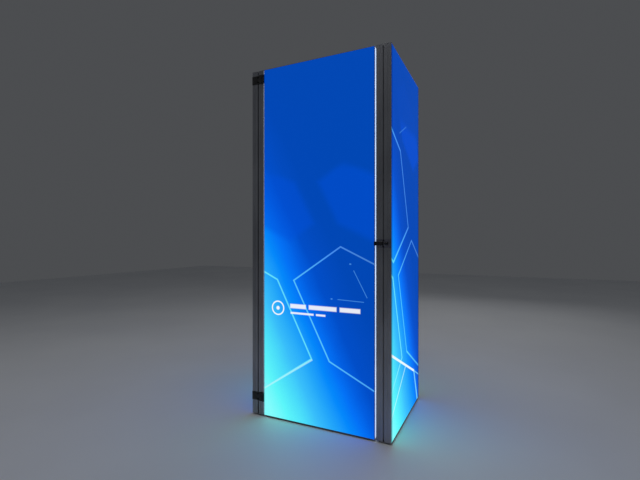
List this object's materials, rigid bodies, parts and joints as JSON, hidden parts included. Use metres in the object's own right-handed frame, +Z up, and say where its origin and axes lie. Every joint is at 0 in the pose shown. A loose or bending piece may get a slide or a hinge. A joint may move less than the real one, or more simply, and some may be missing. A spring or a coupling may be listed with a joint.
{
  "type": "partition wall",
  "caption": "Free-standing square tower of backlit fabric wall panels, with a full-height panel hinged as a door and a sliding bolt.",
  "frame": {"origin": "on the floor, below the middle of the whole tower's box", "axes": "+Z up, -Y is the face with the door, +X to the right of someone facing the door, towards its bolt"},
  "size_m": [1, 0.815, 2.4156],
  "materials": {
    "graphic_fabric": "printed backlit polyester, glowing evenly",
    "liner_fabric": "white block-out polyester liner",
    "frame_aluminium": "dark anodised, fine extrusion lines",
    "led_board": "white solder-masked board with moulded lenses",
    "bracket_alloy": "plain cast alloy",
    "driver_case": "white powder coat",
    "lead_pvc": "black PVC sheath",
    "opal_plastic": "opal diffuser, lit from behind",
    "black_rubber": "matt black rubber",
    "tie_steel": "dark powder coat",
    "hinge_black": "satin black powder coat",
    "pin_steel": "ground steel pin",
    "bolt_black": "satin black powder coat",
    "bolt_rod_dark": "burnished black steel",
    "screw_black": "black oxide steel",
    "inlet_plastic": "black moulded nylon"
  },
  "bodies": {
    "carcass": {"left_front_stile": "frame_aluminium", "left_rear_stile": "frame_aluminium", "left_top_rail": "frame_aluminium", "left_bottom_rail": "frame_aluminium", "left_graphic": "graphic_fabric", "left_liner": "liner_fabric", "left_led_bars": "led_board", "left_corner_brackets": "bracket_alloy", "left_driver": "driver_case", "left_harness": "lead_pvc", "right_front_stile": "frame_aluminium", "right_rear_stile": "frame_aluminium", "right_top_rail": "frame_aluminium", "right_bottom_rail": "frame_aluminium", "right_graphic": "graphic_fabric", "right_liner": "liner_fabric", "right_led_bars": "led_board", "right_corner_brackets": "bracket_alloy", "right_driver": "driver_case", "right_harness": "lead_pvc", "back_left_stile": "frame_aluminium", "back_right_stile": "frame_aluminium", "back_top_rail": "frame_aluminium", "back_bottom_rail": "frame_aluminium", "back_graphic": "graphic_fabric", "back_liner": "liner_fabric", "back_led_bars": "led_board", "back_corner_brackets": "bracket_alloy", "back_driver": "driver_case", "back_harness": "lead_pvc", "left_glides": "black_rubber", "right_glides": "black_rubber", "back_glides": "black_rubber", "rear_link_plates": "tie_steel", "header_tie": "tie_steel", "threshold": "tie_steel", "door_bumpers": "black_rubber", "upper_hinge_bracket": "hinge_black", "upper_hinge_pin": "pin_steel", "lower_hinge_bracket": "hinge_black", "lower_hinge_pin": "pin_steel", "bolt_housing": "bolt_black", "carcass_screws": "screw_black", "power_inlet": "inlet_plastic"},
    "door": {"door_hinge_stile": "frame_aluminium", "door_latch_stile": "frame_aluminium", "door_top_rail": "frame_aluminium", "door_bottom_rail": "frame_aluminium", "door_graphic": "graphic_fabric", "door_liner": "liner_fabric", "door_led_bars": "led_board", "door_corner_brackets": "bracket_alloy", "door_driver": "driver_case", "door_harness": "lead_pvc", "door_edge_diffusers": "opal_plastic", "upper_hinge_leaf": "hinge_black", "lower_hinge_leaf": "hinge_black", "bolt_keeper": "bolt_black", "door_screws": "screw_black"},
    "bolt": {"bolt_rod": "bolt_rod_dark"}
  },
  "joints": [
    {"name": "door_swing", "type": "hinge", "parent": "carcass", "child": "door", "pos_m": [-0.4055, -0.39, 1.21], "axis": [0, 0, -1], "range_deg": [0, 120]},
    {"name": "bolt_slide", "type": "slide", "parent": "carcass", "child": "bolt", "axis": [-1, 0, 0], "range_m": [0, 0.014]}
  ]
}
